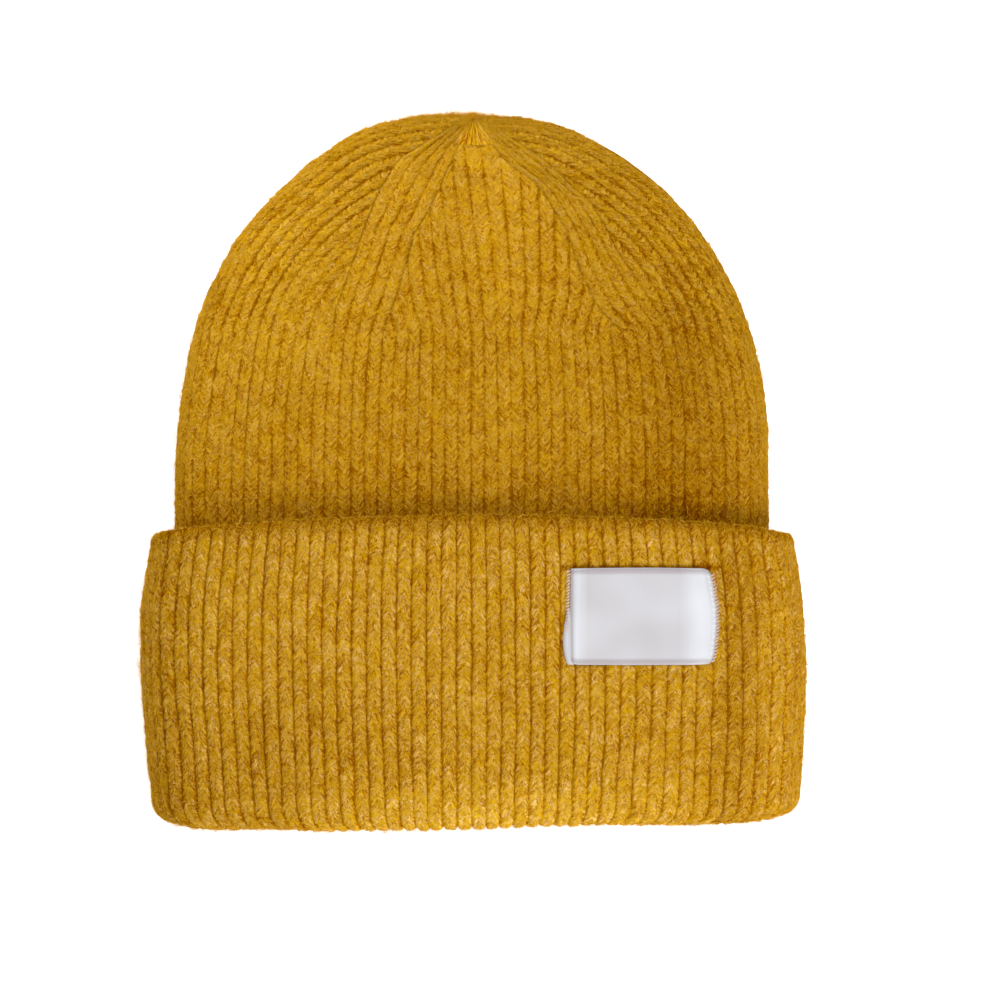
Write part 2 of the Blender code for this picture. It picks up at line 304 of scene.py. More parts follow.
def sway(points, q, v, seed, amount=0.055):
    """The ribs' small sideways wander."""
    per_rib = (points.shape[1] - 1) / (2 * HALF_RIBS)
    shift = amount * drift(seed, 9.0, q * 3, v) + 0.7 * amount * drift(seed + 1, 3.0, q * 3, v)
    shift = shift * ease((HALF_RIBS - np.abs(q)) / 2)
    return points + np.gradient(points, axis=1) * per_rib * shift[..., None]


# ---- materials


class Nodes:
    """Short helpers for building one material's node tree."""

    def __init__(self, name):
        self.material = bpy.data.materials.new(name)
        self.material.use_nodes = True
        self.tree = self.material.node_tree
        self.shader = self.tree.nodes["Principled BSDF"]

    def add(self, kind, **settings):
        node = self.tree.nodes.new(kind)
        for key, value in settings.items():
            setattr(node, key, value)
        return node

    def join(self, value, socket):
        """Join another node's output to this input, or set the input to a fixed value."""
        if isinstance(value, bpy.types.NodeSocket):
            self.tree.links.new(value, socket)
        else:
            socket.default_value = value

    def fill_in(self, node, **values):
        for key, value in values.items():
            self.join(value, node.inputs[key.replace("_", " ")])

    def attribute(self, name):
        return self.add("ShaderNodeAttribute", attribute_name=name).outputs["Vector"]

    def plug(self, node, values, places=(0, 1, 2)):
        for place, value in zip(places, values):
            self.join(value, node.inputs[place])
        return node.outputs[0]

    def vector(self, operation, *values):
        return self.plug(self.add("ShaderNodeVectorMath", operation=operation), values)

    def math(self, operation, *values):
        return self.plug(self.add("ShaderNodeMath", operation=operation), values)

    def noise(self, place, factors, detail=2.0, roughness=0.55, distortion=0.0):
        """Noise over these coordinates, each times its factor."""
        node = self.add("ShaderNodeTexNoise")
        place = self.vector("MULTIPLY", place, factors)
        self.fill_in(node, Vector=place, Scale=1.0, Detail=detail, Roughness=roughness, Distortion=distortion)
        return node.outputs["Fac"]

    def total(self, *terms):
        """The sum of some values, each times its factor."""
        result = self.math("MULTIPLY", *terms[0])
        for value, factor in terms[1:]:
            result = self.math("ADD", result, self.math("MULTIPLY", value, factor))
        return result

    def spread(self, value, low, high, to_low=0.0, to_high=1.0):
        """The value's range from low to high stretched to another one, and held at its ends."""
        node = self.add("ShaderNodeMapRange")
        self.fill_in(node, Value=value, From_Min=low, From_Max=high, To_Min=to_low, To_Max=to_high)
        return node.outputs["Result"]

    def ramp(self, value, stops):
        node = self.add("ShaderNodeValToRGB")
        self.join(value, node.inputs[0])
        elements = node.color_ramp.elements
        while len(elements) < len(stops):
            elements.new(0.5)
        for element, (position, colour) in zip(elements, stops):
            element.position = position
            element.color = (*colour, 1.0)
        return node.outputs[0]

    def mix(self, share, first, second):
        node = self.add("ShaderNodeMix", data_type="RGBA")
        self.plug(node, (share, first, (*second, 1.0)), (0, 6, 7))
        return node.outputs[2]

    def with_painted_light(self, colour, painted_light):
        """Painted light and shade on a colour: paler and yellower above zero, deeper and redder below zero.
        """
        change = self.vector("MULTIPLY_ADD", (1.0, 1.3, 2.5), painted_light, (1.0, 1.0, 1.0))
        return self.vector("MULTIPLY", colour, change)

    def parts(self, vector):
        node = self.add("ShaderNodeSeparateXYZ")
        self.join(vector, node.inputs[0])
        return node.outputs

    def bump(self, height, strength, distance, under=None):
        node = self.add("ShaderNodeBump")
        self.fill_in(node, Height=height, Strength=strength, Distance=distance)
        if under is not None:
            self.join(under, node.inputs["Normal"])
        return node.outputs[0]

    def set(self, **values):
        self.fill_in(self.shader, **values)


YARN_DARK = (0.370, 0.108, 0.0001)
YARN_MIDDLE = (0.622, 0.300, 0.0008)
YARN_LIGHT = (0.768, 0.438, 0.0080)
FLECK = (0.940, 0.600, 0.185)
FIBRE_PALE = (0.900, 0.520, 0.075)
YARN_SHEEN = {"Sheen_Weight": 0.02, "Sheen_Roughness": 0.5, "Sheen_Tint": (1.0, 0.55, 0.03, 1.0)}


def yarn_material(name, fleck_share, green=1.0):
    """Brushed mustard yarn: combed streaks along each leg of each stitch, and paler curled fibres that
    come in loose clumps, with painted shade in the grooves and painted light and shade laid over all."""
    n = Nodes(name)
    leg = n.attribute("leg")
    tone = n.parts(n.attribute("tone"))
    streak = n.noise(leg, (2.9, 1.5, 2.3), 4.0, 0.66, 1.1)
    hair = n.noise(leg, (6.4, 3.2, 5.2), 2.0, 0.6, 1.0)
    clump = n.noise(leg, (0.50, 0.5, 1.3), 2.0, 0.55)
    # A curled fibre lies wherever a slow noise passes through its middle value.
    worm = n.noise(leg, (1.7, 1.1, 1.7), 2.0, 0.5, 1.3)
    curl = n.spread(n.math("ABSOLUTE", n.math("SUBTRACT", worm, 0.5)), 0.060, 0.020)
    # Painted shade: darker and redder down in the grooves between legs and ribs.
    depth = n.spread(tone[1], 0.0, 0.8, -0.085, 0.0)
    base = n.total((streak, 0.56), (hair, 0.44), (tone[0], 0.030), (depth, 1.0), (tone[2], 0.12))
    shades = ((0.405, YARN_DARK), (0.475, YARN_MIDDLE), (0.55, YARN_LIGHT))
    ground = n.ramp(base, [(place, (red, mid * green, blue)) for place, (red, mid, blue) in shades])
    fleck = n.math("MULTIPLY", curl, n.spread(clump, 0.38, 0.58, 0.25 * fleck_share, fleck_share))
    fleck = n.math("MULTIPLY", fleck, n.spread(tone[1], 0.25, 0.75))
    fleck = n.math("MULTIPLY", fleck, n.spread(base, 0.41, 0.47))
    colour = n.mix(fleck, ground, FLECK)
    n.set(Base_Color=n.with_painted_light(colour, tone[2]))
    coarse = n.bump(streak, 1.0, 0.0005)
    fine = n.bump(hair, 1.0, 0.00025, coarse)
    n.set(Normal=n.bump(curl, 0.6, 0.00010, fine))
    n.set(Roughness=n.spread(hair, 0.2, 0.8, 0.98, 0.85))
    n.set(Specular_IOR_Level=0.0, **YARN_SHEEN)
    return n.material


def fibre_material():
    """Loose fibres, each its own shade of mustard to tan."""
    n = Nodes("loose_fibre")
    tone = n.parts(n.attribute("tone"))
    stops = [(0.0, YARN_MIDDLE), (0.5, YARN_LIGHT), (0.9, FIBRE_PALE)]
    n.set(Base_Color=n.ramp(tone[0], stops))
    n.set(Roughness=0.9, Specular_IOR_Level=0.0, **YARN_SHEEN)
    return n.material


def satin_material():
    """White woven satin, with a diagonal selvedge weave along the two long edges, painted sheen near
    both ends and a painted shade line just inside the left end.

    The weave attribute holds millimetres along the label, from its middle, and in from the nearer edge.
    """
    n = Nodes("white_satin_weave")
    weave = n.attribute("weave")
    parts = n.parts(weave)
    dash = n.math("SINE", n.total((parts[0], 6.6), (parts[2], 6.6)))
    edge = n.spread(parts[2], 2.3, 1.2)
    rim = n.spread(parts[2], 0.2, 0.5)
    band = n.math("MULTIPLY", n.math("MULTIPLY", edge, rim), n.spread(dash, -0.1, 0.3))
    # Painted sheen: lighter bands near both turned ends.
    right = n.math("MULTIPLY", n.spread(parts[0], 12.0, 19.0), n.spread(parts[0], 24.5, 22.8))
    left = n.math("MULTIPLY", n.spread(parts[0], -22.0, -21.0), n.spread(parts[0], -17.0, -20.5))
    cloud = n.noise(weave, (0.05, 0.07, 0.0), 1.0, 0.5)
    thread = n.noise(weave, (1.2, 14.0, 0.0), 2.0, 0.6)
    cloud = n.spread(cloud, 0.3, 0.7, 0.18, 0.32)
    # Painted shade: a darker line just inside the left end, where the ribbon turns under.
    fold = n.math("MULTIPLY", n.spread(parts[0], -22.6, -22.1), n.spread(parts[0], -21.1, -21.7))
    shade = n.total((cloud, 1.0), (thread, 0.22), (band, 0.9), (left, -0.34), (right, -0.34), (fold, 0.20))
    stops = [(0.0, (0.70, 0.715, 0.755)), (0.4, (0.525, 0.51, 0.53)), (1.0, (0.30, 0.23, 0.24))]
    n.set(Base_Color=n.ramp(shade, stops))
    fine = n.bump(thread, 0.25, 0.00012)
    n.set(Normal=n.bump(band, 0.4, 0.0002, fine))
    n.set(Roughness=n.spread(thread, 0.2, 0.8, 0.34, 0.46))
    n.set(Anisotropic=0.5, Sheen_Weight=0.1, Sheen_Roughness=0.3, Specular_IOR_Level=0.40)
    return n.material


def thread_material(name, colour, pale):
    """Twisted sewing thread: shade follows the twist."""
    n = Nodes(name)
    twist = n.attribute("leg")
    ply = n.noise(twist, (4.0, 4.0, 4.0), 2.0, 0.5)
    n.set(Base_Color=n.ramp(ply, [(0.3, colour), (0.7, pale)]))
    n.set(Normal=n.bump(ply, 0.4, 0.0001))
    n.set(Roughness=n.spread(ply, 0.3, 0.7, 0.5, 0.7))
    n.set(Sheen_Weight=0.2, Sheen_Roughness=0.4)
    return n.material


def floor_material():
    n = Nodes("studio_floor")
    place = n.add("ShaderNodeTexCoord").outputs["Object"]
    grain = n.noise(place, (3.0, 3.0, 3.0), 1.0, 0.5)
    n.set(Base_Color=n.ramp(grain, [(0.0, (0.93, 0.93, 0.93)), (1.0, (0.95, 0.95, 0.95))]))
    n.set(Roughness=1.0, Specular_IOR_Level=0.0, Emission_Color=(1.0, 1.0, 1.0, 1.0), Emission_Strength=0.72)
    return n.material


# ---- cuff


def corner_lift(height):
    share = height / CUFF_HEIGHT
    return CORNER_LIFT * ((1 - share) ** CORNER_LIFT_FALLOFF - share**CORNER_LIFT_FALLOFF)


def cuff_half_width(height):
    skewed = np.clip(height / CUFF_HEIGHT, 0.0, 1.0) ** CUFF_BULGE_SKEW
    return CUFF_END_HALF_WIDTH + CUFF_BULGE * np.sin(np.pi * skewed)


def cuff_path():
    """The cuff's fabric, from the lip inside the fold, round the fold, up the outside, over the top
    edge and down the inside: sideways offset from the body, face offset, height and length so far."""
    centre = (OUTER_FACE - LAYER) / 2
    reach_in = centre + LAYER
    turn = np.linspace(0, np.pi / 2, 60)
    offset = centre - reach_in * np.cos(turn)
    legs = [(offset, offset, LIP_DEPTH * (1 - np.sin(turn)))]
    side = cuff_half_width(BOTTOM_CORNER_HEIGHT) - HALF_CROWN
    outer = OUTER_FACE + FACE_BULGE
    around = np.sin(turn[1:])
    legs.append((centre + (side - centre) * around, centre + (outer - centre) * around,
                 BOTTOM_CORNER_HEIGHT * (1 - np.cos(turn[1:]))))
    height = np.linspace(BOTTOM_CORNER_HEIGHT, CUFF_HEIGHT - TOP_CORNER_RADIUS, 400)[1:]
    legs.append((cuff_half_width(height) - HALF_CROWN, np.full_like(height, outer), height))
    over = np.linspace(0, np.pi, 60)[1:]
    back = LAYER / 2 * (1 - np.cos(over))
    top_side = cuff_half_width(CUFF_HEIGHT - TOP_CORNER_RADIUS) - HALF_CROWN
    legs.append((top_side - back, outer - back, CUFF_HEIGHT - TOP_CORNER_RADIUS * (1 - np.sin(over))))
    down = np.linspace(CUFF_HEIGHT - TOP_CORNER_RADIUS, LIP_DEPTH, 300)[1:]
    legs.append((cuff_half_width(down) - HALF_CROWN - LAYER, np.full_like(down, outer - LAYER), down))
    side, face, height = (np.concatenate(columns) for columns in zip(*legs))
    return side, face, height, length_along(face, height)


CUFF_PATH = cuff_path()
WALL_END = float(CUFF_PATH[3][np.argmax(CUFF_PATH[2])])
PATH_END = float(CUFF_PATH[3][-1])


def top_arch(x):
    """How far the cuff's top edge bows up across the front."""
    return CUFF_TOP_ARCH * np.maximum(1 - ((x - 0.005) / 0.075) ** 2, -0.3)


def cuff_surface(q, length, back):
    side, face, height = (np.interp(length, CUFF_PATH[3], column) for column in CUFF_PATH[:3])
    share = np.interp(np.abs(q), *(BOTTOM_TABLE if back else TOP_TABLE))
    half_width = HALF_CROWN + side
    x = np.sign(q) * half_width * share
    if back:
        low = BODY_BOTTOM_Z - face - PRESSED_FLAT * ease(face / OUTER_FACE)
        z = BODY_MIDDLE_Z - (BODY_MIDDLE_Z - low) * fill(share, BOTTOM_FULLNESS)
        z = np.maximum(z, 0.0)
    else:
        z = BODY_MIDDLE_Z + (BODY_TOP_Z + face - BODY_MIDDLE_Z) * fill(share, TOP_FULLNESS)
    arch = top_arch(x) * ease((height - 0.60 * CUFF_HEIGHT) / (0.40 * CUFF_HEIGHT))
    low_down = (1 - height / CUFF_HEIGHT) ** 2
    y = MOUTH_Y + height + corner_lift(height) * share**CORNER_LIFT_SHARPNESS + arch
    y = y + low_down * (0.0001 + RIGHT_CORNER_UP * ease((x + 0.015) / 0.090) + 0.0009 * hump(x / 0.045))
    x = x + ease((x - 0.040) / 0.050) * (0.0008 + RIGHT_CORNER_OUT * low_down)
    return np.stack([x, y, z], -1), height


def cuff_painted_light(x, y, height):
    """Painted light and shade on the cuff's yarn: paler along the fold, darker at its ends and in the rib
    beside the label, a painted shadow along the label's upper edge, and darker at the cuff's top edge."""
    painted_light = 0.18 * ease((-0.093 - y) / 0.012) * hump((x - 0.012) / 0.060)
    painted_light -= 0.10 * hump((x + 0.055) / 0.030) * hump((y + 0.082) / 0.016)
    painted_light -= 0.07 * ease((-0.030 - x) / 0.040) * ease((-0.080 - y) / 0.020)
    painted_light -= 0.12 * ease((-x - 0.083) / 0.012)
    painted_light -= 0.15 * hump((x - 0.083) / 0.009) * ease((-0.015 - y) / 0.015)
    # Painted shadow along the label's upper edge.
    over = y - LABEL_HIGH
    beside = np.abs(x - LABEL_CENTRE[0]) - LABEL_SIZE[0] / 2
    painted_light -= 0.35 * hump((over - 0.0002) / 0.0007) * ease((0.0004 - beside) / 0.0010)
    # Painted shade along the cuff's rolled top edge.
    return painted_light - 0.36 * ease((height - CUFF_HEIGHT + 0.0065) / 0.0065)


def label_gap(points):
    """Distance outside the label's outline, and below zero inside it."""
    return np.maximum(*(np.abs(points[..., k] - LABEL_CENTRE[k]) - LABEL_SIZE[k] / 2 for k in (0, 1)))


def cuff_pieces(names, lengths, columns, back, material, seed):
    """One side of the cuff's fabric along these lengths of its path, and its grid of points."""
    q, length = knit_grid(columns, lengths)
    points, height = cuff_surface(q, length, back)
    points = sway(points, q, length / CUFF_ROW, seed + 40)
    normal = normals_of(points, back)
    inner = ease((length - WALL_END - 0.002) / 0.004)
    rise, leg, tone = knit_relief(q, length / CUFF_ROW, 1, CUFF_DEPTH, seed)
    rise = rise * (1 - 0.45 * inner)
    soft = 0.0005 * drift(seed + 20, 0.022, points[..., 0], points[..., 1])
    if not back:
        rise = rise + soft * (1 - inner)
        pressed = ease(-label_gap(points) / 0.0015 + 0.3)
        rise = rise - pressed * (soft + 0.0004)
        # The tone's third column carries painted light and shade.
        tone[..., 2] = cuff_painted_light(points[..., 0], points[..., 1], height) * (1 - inner)
        # Shallower ribs along the rolled top edge, with less painted groove shade to match.
        worn = ease((height - CUFF_HEIGHT + 0.0050) / 0.0040)
        rise = rise * (1 - 0.55 * worn)
        tone[..., 1] = 1 - (1 - tone[..., 1]) * (1 - 0.55 * worn)
    points = points + normal * rise[..., None]
    if back:
        points[..., 2] = np.maximum(points[..., 2], 0.0)
    made = knit_pieces(names, points, leg, tone, material, "cuff", flip=back)
    return made, (points, normal, leg)


# ---- crown and body


def body_heights(y):
    along = ease((y - CUFF_TOP_Y) / (APEX_Y - CUFF_TOP_Y))
    settled = ease((y - CUFF_TOP_Y) / (SETTLED_Y - CUFF_TOP_Y))
    middle = BODY_MIDDLE_Z + (APEX_MIDDLE_Z - BODY_MIDDLE_Z) * along
    top = BODY_TOP_Z + (APEX_TOP_Z - BODY_TOP_Z) * along
    bottom = BODY_BOTTOM_Z * (1 - settled) - PRESSED_FLAT * settled
    return middle, top, bottom


def body_surface(q, y, back, inset=0.0):
    rise = CROWN_RISE - inset
    reach = np.clip((y - SHOULDER_Y) / rise, 0.0, 1.0)
    narrowing = (1.0 - reach**OUTLINE_FULLNESS) ** (1 / OUTLINE_FULLNESS)
    share = np.interp(np.abs(q), *(BOTTOM_TABLE if back else TOP_TABLE))
    x = np.sign(q) * (HALF_CROWN - inset) * narrowing * share
    radius = ((share * narrowing) ** OUTLINE_FULLNESS + reach**OUTLINE_FULLNESS) ** (1 / OUTLINE_FULLNESS)
    middle, top, bottom = body_heights(y)
    if back:
        z = middle - (middle - bottom - inset) * fill(radius, BOTTOM_FULLNESS)
        z = np.maximum(z, inset)
    else:
        z = middle + (top - inset - middle) * fill(radius, TOP_FULLNESS)
    return np.stack([x, y, z], -1)


def smooth_curve(points):
    """x against y through these points, with its corners rounded off."""
    y = np.linspace(points[0][1], points[-1][1], 600)
    x = np.interp(y, [p[1] for p in points], [p[0] for p in points])
    reach = 24
    padded = np.concatenate([2 * x[0] - x[reach:0:-1], x, 2 * x[-1] - x[-2:-reach - 2:-1]])
    window = np.hanning(2 * reach + 1)
    return y, np.convolve(padded, window / window.sum(), "valid")


# The crown's decreases: each pair of lines runs up the front and carries four ribs between its lines.
JOIN_Y = 0.0437
LEFT_RIBS = (-7, -11)
RIGHT_RIBS = (12, 16)
LEFT_INNER = [(-.0288, .030), (-.0278, .0437), (-.0233, .0564), (-.0204, .0663), (-.0176, .0764),
              (-.0141, .0812), (-.0103, .0891), (-.0062, .0986), (-.0021, .1081), (-.0005, .1135)]
LEFT_OUTER = [(-.0450, .030), (-.0437, .0437), (-.0430, .0510), (-.0385, .0637), (-.0338, .0780),
              (-.0296, .0880), (-.0227, .0986), (-.0132, .1049), (-.0060, .1095), (-.0020, .1135)]
RIGHT_INNER = [(.0490, .030), (.0477, .0437), (.0407, .0507), (.0376, .0564), (.0341, .0640), (.0300, .0767),
               (.0252, .0843), (.0208, .0907), (.0160, .0945), (.0116, .0970), (.0040, .1070), (.0012, .1135)]
RIGHT_OUTER = [(.0654, .030), (.0636, .0437), (.0545, .0574), (.0471, .0685), (.0423, .0780), (.0376, .0859),
               (.0312, .0907), (.0249, .0970), (.0120, .1060), (.0040, .1135)]

# The gathered apex: where its spokes meet, how far down and how wide they fan.
FAN_X = 0.0006
FAN_TOP = 0.1140
FAN_FOOT = 0.1030
FAN_REACH = 0.68


def outline_table():
    """The crown's outline: points, length from the shoulder and angle turned."""
    turn = np.linspace(0, np.pi / 2, 500)
    x = HALF_CROWN * np.cos(turn) ** (2 / OUTLINE_FULLNESS)
    y = SHOULDER_Y + CROWN_RISE * np.sin(turn) ** (2 / OUTLINE_FULLNESS)
    angle = np.arctan2(-np.gradient(x), np.gradient(y))
    return x, y, length_along(x, y), np.clip(angle, 0, np.pi / 2)


def side_family(x, y, q):
    """Ribs that follow the crown's outline: their rib and row numbers."""
    line_x, line_y, length, angle = outline_table()
    nearest = np.zeros(x.shape, dtype=int)
    for k in range(len(x)):
        gap = (np.abs(x[k, :, None]) - line_x) ** 2 + (y[k, :, None] - line_y) ** 2
        nearest[k] = gap.argmin(axis=1)
    distance = np.hypot(np.abs(x) - line_x[nearest], y - line_y[nearest])
    pitch = np.interp(y, [.030, .054, .090, .105, .1135], [.0040, .0036, .0034, .0028, .0025])
    edge = 0.00424
    share = 1 - (1 - EVEN_SHARE) * np.minimum(distance / edge, 1.0)
    wrapped = HALF_RIBS - np.interp(share, TOP_TABLE[1], TOP_TABLE[0])
    from_side = wrapped + np.maximum(distance - edge, 0.0) / pitch
    bent = ease((y - 0.020) / 0.035)
    ribs = HALF_RIBS - np.abs(q)
    ribs = ribs * (1 - bent) + from_side * bent
    rows = (SHOULDER_Y + length[nearest] - distance * angle[nearest]) / BODY_ROW
    rows = rows * bent + y / BODY_ROW * (1 - bent)
    return np.sign(x) * (HALF_RIBS - ribs), rows, distance


def crown_relief(x, y, q, seed):
    """The relief of the crown's front, where ribs end on the four decrease lines."""
    worn = 0.84 + 0.16 * drift(seed + 29, 0.006, x, y * 0.5)
    low, leg, tone = knit_relief(q, y / BODY_ROW, -1, BODY_DEPTH, seed, CROWN_LUMPS, worn)
    curves = [smooth_curve(points) for points in (LEFT_INNER, LEFT_OUTER, RIGHT_INNER, RIGHT_OUTER)]
    left_in, left_out, right_in, right_out = (np.interp(y, *curve) for curve in curves)
    # Between the inner lines: nearly straight ribs.
    tilt = 0.114 * (y - JOIN_Y) * ease((0.030 - x) / 0.035)
    pitch = 0.003974 * (1 + 0.11 * ease((y - 0.042) / 0.016))
    centre_q = (x + tilt) / pitch
    # Between each pair of lines: ribs that follow them.
    left_q = LEFT_RIBS[0] + (LEFT_RIBS[1] - LEFT_RIBS[0]) * (x - left_in) / (left_out - left_in)
    right_q = RIGHT_RIBS[0] + (RIGHT_RIBS[1] - RIGHT_RIBS[0]) * (x - right_in) / (right_out - right_in)
    side_q, side_v, distance = side_family(x, y, q)
    straight_v = y / BODY_ROW
    band_v = (JOIN_Y + (y - JOIN_Y) * 1.12) / BODY_ROW
    outside = (x < left_out) | (x > right_out)
    banded = (x < left_in) | (x > right_in)
    family_q = np.select([outside, x < left_in, x > right_in], [side_q, left_q, right_q], centre_q)
    family_v = np.select([outside, banded], [side_v, band_v], straight_v)
    # Brushing has blurred the ribs most beside the decreases and least in the middle.
    blur = np.select([outside, banded], [0.02 + 0.22 * ease((distance - 0.020) / 0.010), 0.10], 0.0)
    blur = blur * ease((y - 0.044) / 0.014) + 0.10 * ease((y - 0.092) / 0.010)
    patch = 0.34 * drift(seed + 30, 0.0042, x, y) + 0.22 * drift(seed + 33, 0.0017, x, y)
    crisp = outside * (1 - ease((distance - 0.018) / 0.012)) * ease((y - 0.034) / 0.016)
    kept = np.clip(worn - blur + patch * (0.20 + blur) * (1 - 0.3 * crisp), 0.0, 1.0)
    middle = (1 - outside) * ease((y - 0.040) / 0.008)
    kept = kept * (1 + 0.65 * crisp + 0.40 * middle)
    lumps = CROWN_LUMPS + (0.15 + 0.25 * outside) * ease((y - 0.044) / 0.014) + 0.5 * crisp
    legs = 1 - 0.55 * ease((y - 0.044) / 0.020) * np.where(outside, 0.2, 1.0)
    lumps -= 0.4 * ease((y - 0.060) / 0.025) * (1 - outside)
    high, high_leg, high_tone = knit_relief(family_q, family_v, -1, BODY_DEPTH, seed, lumps, kept, legs)
    high -= BODY_DEPTH * 0.25 * (1 - np.minimum(kept, 1.0))
    for line, strength in ((left_in, 0.5), (right_in, 0.8), (left_out, 0.15), (right_out, 0.25)):
        gap = (x - line) * 0.85 + 0.0006 * drift(seed + 34, 0.004, x, y)
        crease = hump(gap / 0.0008) * ease((y - 0.046) / 0.008) * ease((0.098 - y) / 0.010)
        high -= 0.0006 * strength * crease * (0.7 + 0.5 * drift(seed + 35, 0.003, x, y))
    # The gathered apex: fibres pulled into a fan above a short crease.
    spoke = np.arctan2(x - FAN_X, FAN_TOP - y)
    ragged = 0.10 * drift(seed + 37, 0.0012, x, y)
    inside = ease((y - FAN_FOOT) / 0.0012 + ragged) * ease((FAN_REACH - np.abs(spoke)) / 0.22 + ragged)
    wave = np.sin(spoke * 34 + 3.0 * drift(seed + 31, 0.12, spoke))
    fan = -0.00028 + 0.00016 * wave + 0.00022 * drift(seed + 32, 0.05, spoke * 3, y * 9)
    high = high * (1 - inside) + fan * inside
    fan_leg = np.stack([spoke * 5.0, y * 160, spoke * 0], -1)
    crease_y = FAN_FOOT + 0.0004 * drift(seed + 36, 0.002, x)
    crease = hump((y - crease_y) / 0.0005) * ease((0.0058 - np.abs(x - 0.0028)) / 0.0020)
    high -= 0.0008 * crease * (0.7 + 0.5 * drift(seed + 38, 0.0012, x))
    share = ease((y - 0.0405) / 0.007)
    rise = low * (1 - share) + high * share
    leg = np.where((share > 0.5)[..., None], high_leg, leg)
    leg = np.where((inside > 0.5)[..., None], fan_leg, leg)
    tone = np.where((share > 0.5)[..., None], high_tone, tone)
    tone[..., 0] = tone[..., 0] * (1 - inside)
    # Painted shade: darker along the apex crease, with light and shade that follow the fan's spokes.
    tone[..., 1] = tone[..., 1] * (1 - inside) + (0.60 + 0.16 * wave) * inside - 0.3 * crease
    return rise, leg, tone


def crown_painted_light(x, y):
    """Painted light and shade on the crown's yarn: paler up the crown and down its left side, darker at
    the lower right, and a painted shadow close to the cuff."""
    above = y - CUFF_TOP_Y - top_arch(x)
    # Painted shadow of the cuff's top edge on the crown just above it.
    cuff_shadow = -0.13 * (1 - ease(above / 0.026)) - 0.10 * (1 - ease(above / 0.0052))
    cuff_shadow -= 0.04 * (1 - ease(above / 0.030)) * ease((x + 0.010) / 0.030)
    painted_light = -0.02 + 0.08 * ease(y / 0.110) + cuff_shadow * ease((above + 0.020) / 0.016)
    painted_light += 0.035 * ease((-x - 0.008) / 0.030) * ease(y / 0.030) + 0.035 * ease((y - 0.092) / 0.010)
    painted_light += 0.07 * hump((x + 0.062) / 0.018) * ease((y - 0.020) / 0.020)
    painted_light += 0.04 * hump((x - 0.009) / 0.009)
    # A small painted highlight and a small patch of painted shade beside the gathered apex.
    painted_light += 0.14 * hump((x - 0.0170) / 0.0040) * hump((y - 0.1088) / 0.0016)
    painted_light -= 0.12 * hump((x + 0.0055) / 0.0020) * hump((y - 0.1045) / 0.0022)
    return painted_light - 0.15 * hump((x - 0.066) / 0.018) * ease((0.070 - y) / 0.035)


def crown_rows(step, start):
    """Places along the body up to the gathered end, closer together where the crown turns in."""
    straight = np.arange(start, 0.095, step)
    last = APEX_Y - 0.000003
    count = int(round((last - 0.095) / step * 1.7))
    turn = np.linspace(0, 1, count + 1)
    return np.concatenate([straight, 0.095 + (last - 0.095) * (1 - (1 - turn) ** 2)])


def crown_pieces(names, rows, columns, back, material, seed):
    """One side of the crown, and its grid of points."""
    q, y = knit_grid(columns, rows)
    points = body_surface(q, y, back)
    x = points[..., 0]
    peak = APEX_PUSH * hump((x + 0.004) / 0.022) - APEX_DENT * hump((x - 0.0014) / 0.010)
    points[..., 1] += peak * ease((y - 0.098) / 0.012)
    shoulder = LEFT_SHOULDER_PUSH * hump((x + 0.036) / 0.015)
    shoulder += RIGHT_SHOULDER_PUSH * hump((x - 0.030) / 0.015)
    points[..., 1] += shoulder * ease((y - 0.080) / 0.022)
    points[..., 0] += 0.0009 * hump((y - 0.026) / 0.022) * ease((-x - 0.040) / 0.050)
    points = sway(points, q, y / BODY_ROW, seed + 40)
    normal = normals_of(points, back)
    if back:
        rise, leg, tone = knit_relief(q, y / BODY_ROW, -1, BODY_DEPTH, seed)
    else:
        rise, leg, tone = crown_relief(points[..., 0], y, q, seed)
        rise = rise + 0.0006 * drift(seed + 20, 0.024, points[..., 0], y) * ease((y - CUFF_TOP_Y) / 0.01)
        # Painted light: the crown's yarn is paler along its sides, more on the right, like a lit rim.
        painted_rim_light = ease((np.abs(q) - 20.5) / 3)
        tone[..., 2] = crown_painted_light(points[..., 0], y) + np.where(x > 0, 0.12, 0.04) * painted_rim_light
    points = points + normal * rise[..., None]
    if back:
        points[..., 2] = np.maximum(points[..., 2], 0.0)
    made = knit_pieces(names, points, leg, tone, material, "hat", flip=back)
    return made, (points, normal, leg)


def body_piece(name, back, material):
    """The stretch of the body under the cuff, which reaches down to the fold."""
    columns = 4 if back else 6
    q, y = knit_grid(columns, np.linspace(MOUTH_Y + 0.0035, CUFF_TOP_Y - 0.0058, 30 * columns))
    points = sway(body_surface(q, y, back), q, y / BODY_ROW, 62 if back else 61)
    rise, leg, tone = knit_relief(q, y / BODY_ROW, -1, BODY_DEPTH, 22 if back else 21, CROWN_LUMPS)
    if not back:
        # The same painted light and shade as on the crown.
        tone[..., 2] = crown_painted_light(points[..., 0], y)
    return knit_piece(name, points + normals_of(points, back) * rise[..., None], leg, tone, material, back)


def lining_piece(name, rows, back, material):
    """The inside of the body's fabric: the same rib, seen from its other side."""
    q, y = knit_grid(3, rows)
    points = body_surface(q, y, back, LAYER)
    rise, leg, tone = knit_relief(q + 0.5, y / BODY_ROW, -1, BODY_DEPTH * 0.6, 31)
    points = points + normals_of(points, not back) * rise[..., None]
    return knit_piece(name, points, leg, tone, material, not back)


# ---- loose fibres


